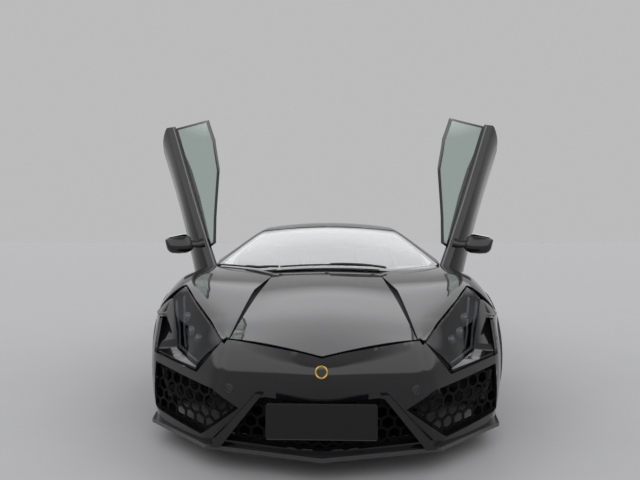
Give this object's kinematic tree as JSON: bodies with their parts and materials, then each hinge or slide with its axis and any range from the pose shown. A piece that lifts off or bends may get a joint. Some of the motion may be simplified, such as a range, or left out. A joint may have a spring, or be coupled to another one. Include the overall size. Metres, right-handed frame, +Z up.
{
  "type": "mid-engined two-seat supercar",
  "caption": "Low wedge-shaped two-seat mid-engined sports car in black, shown with both upward-turning doors open, and with a lifting bonnet and engine cover.",
  "frame": {"origin": "on the ground under the middle of the car, halfway between nose and tail", "axes": "+Z up, +Y towards the tail (the nose points along -Y), +X to the car's left"},
  "size_m": [2.8376, 4.9457, 1.9624],
  "materials": {
    "body_paint": "gloss",
    "carbon": "satin",
    "dark_trim": "matt",
    "clear_glass": "clear",
    "lamp_glass": "clear",
    "tail_glass": "clear",
    "tyre": "matt",
    "rim": "satin",
    "alloy": "cast",
    "tub_carbon": "satin",
    "leather": "matt",
    "pipe": "brushed"
  },
  "bodies": {
    "chassis": {"tub": "tub_carbon", "undertray": "dark_trim", "front_bumper": "body_paint", "front_grilles": "dark_trim", "nose_blades": "body_paint", "plate_holder": "dark_trim", "front_splitter": "carbon", "headlamp_left": "lamp_glass", "headlamp_right": "lamp_glass", "wing_left": "body_paint", "wing_right": "body_paint", "cowl": "dark_trim", "windscreen": "clear_glass", "roof": "body_paint", "rear_window": "clear_glass", "quarter_left": "body_paint", "quarter_right": "body_paint", "side_intakes": "dark_trim", "rear_deck": "body_paint", "rear_bumper": "body_paint", "tail_lamps": "tail_glass", "rear_grilles": "dark_trim", "rear_diffuser": "carbon", "exhaust": "pipe", "rear_wing": "body_paint", "side_skirts": "carbon", "front_liner_left": "dark_trim", "front_liner_right": "dark_trim", "rear_liner_left": "dark_trim", "rear_liner_right": "dark_trim", "engine": "alloy", "dashboard": "leather", "seat_left": "leather", "seat_right": "leather", "steering_wheel": "leather", "front_suspension": "alloy", "rear_suspension": "alloy"},
    "door_left": {"door_left": "body_paint", "door_glass_left": "clear_glass", "mirror_left": "body_paint"},
    "door_right": {"door_right": "body_paint", "door_glass_right": "clear_glass", "mirror_right": "body_paint"},
    "bonnet": {"bonnet": "body_paint"},
    "engine_cover": {"engine_cover": "body_paint"},
    "knuckle_left": {"front_knuckle_left": "alloy"},
    "knuckle_right": {"front_knuckle_right": "alloy"},
    "wheel_front_left": {"front_tyre_left": "tyre", "front_rim_left": "rim"},
    "wheel_front_right": {"front_tyre_right": "tyre", "front_rim_right": "rim"},
    "wheel_rear_left": {"rear_tyre_left": "tyre", "rear_rim_left": "rim"},
    "wheel_rear_right": {"rear_tyre_right": "tyre", "rear_rim_right": "rim"}
  },
  "joints": [
    {"name": "door_left_hinge", "type": "hinge", "parent": "chassis", "child": "door_left", "pos_m": [0.886, -0.8145, 0.805], "axis": [0.9272, 0, -0.3746], "range_deg": [-68, 0]},
    {"name": "door_right_hinge", "type": "hinge", "parent": "chassis", "child": "door_right", "pos_m": [-0.886, -0.8145, 0.805], "axis": [0.9272, 0, 0.3746], "range_deg": [-68, 0]},
    {"name": "bonnet_hinge", "type": "hinge", "parent": "chassis", "child": "bonnet", "pos_m": [0, -1.2435, 0.77915], "axis": [-1, 0, 0], "range_deg": [0, 55]},
    {"name": "engine_cover_hinge", "type": "hinge", "parent": "chassis", "child": "engine_cover", "pos_m": [0, 0.3725, 1.14685], "axis": [1, 0, 0], "range_deg": [0, 45]},
    {"name": "steering_left", "type": "hinge", "parent": "chassis", "child": "knuckle_left", "pos_m": [0.828, -1.3305, 0.347], "axis": [0, 0, 1], "range_deg": [-32, 32]},
    {"name": "steering_right", "type": "hinge", "parent": "chassis", "child": "knuckle_right", "pos_m": [-0.828, -1.3305, 0.347], "axis": [0, 0, 1], "range_deg": [-32, 32]},
    {"name": "wheel_front_left_spin", "type": "hinge", "parent": "knuckle_left", "child": "wheel_front_left", "pos_m": [0.858, -1.3305, 0.347], "axis": [1, 0, 0], "continuous": true},
    {"name": "wheel_front_right_spin", "type": "hinge", "parent": "knuckle_right", "child": "wheel_front_right", "pos_m": [-0.858, -1.3305, 0.347], "axis": [1, 0, 0], "continuous": true},
    {"name": "wheel_rear_left_spin", "type": "hinge", "parent": "chassis", "child": "wheel_rear_left", "pos_m": [0.833, 1.4485, 0.37], "axis": [1, 0, 0], "continuous": true},
    {"name": "wheel_rear_right_spin", "type": "hinge", "parent": "chassis", "child": "wheel_rear_right", "pos_m": [-0.833, 1.4485, 0.37], "axis": [1, 0, 0], "continuous": true}
  ],
  "couplings": [
    {"joint": "steering_right", "follows": "steering_left", "ratio": 1}
  ]
}
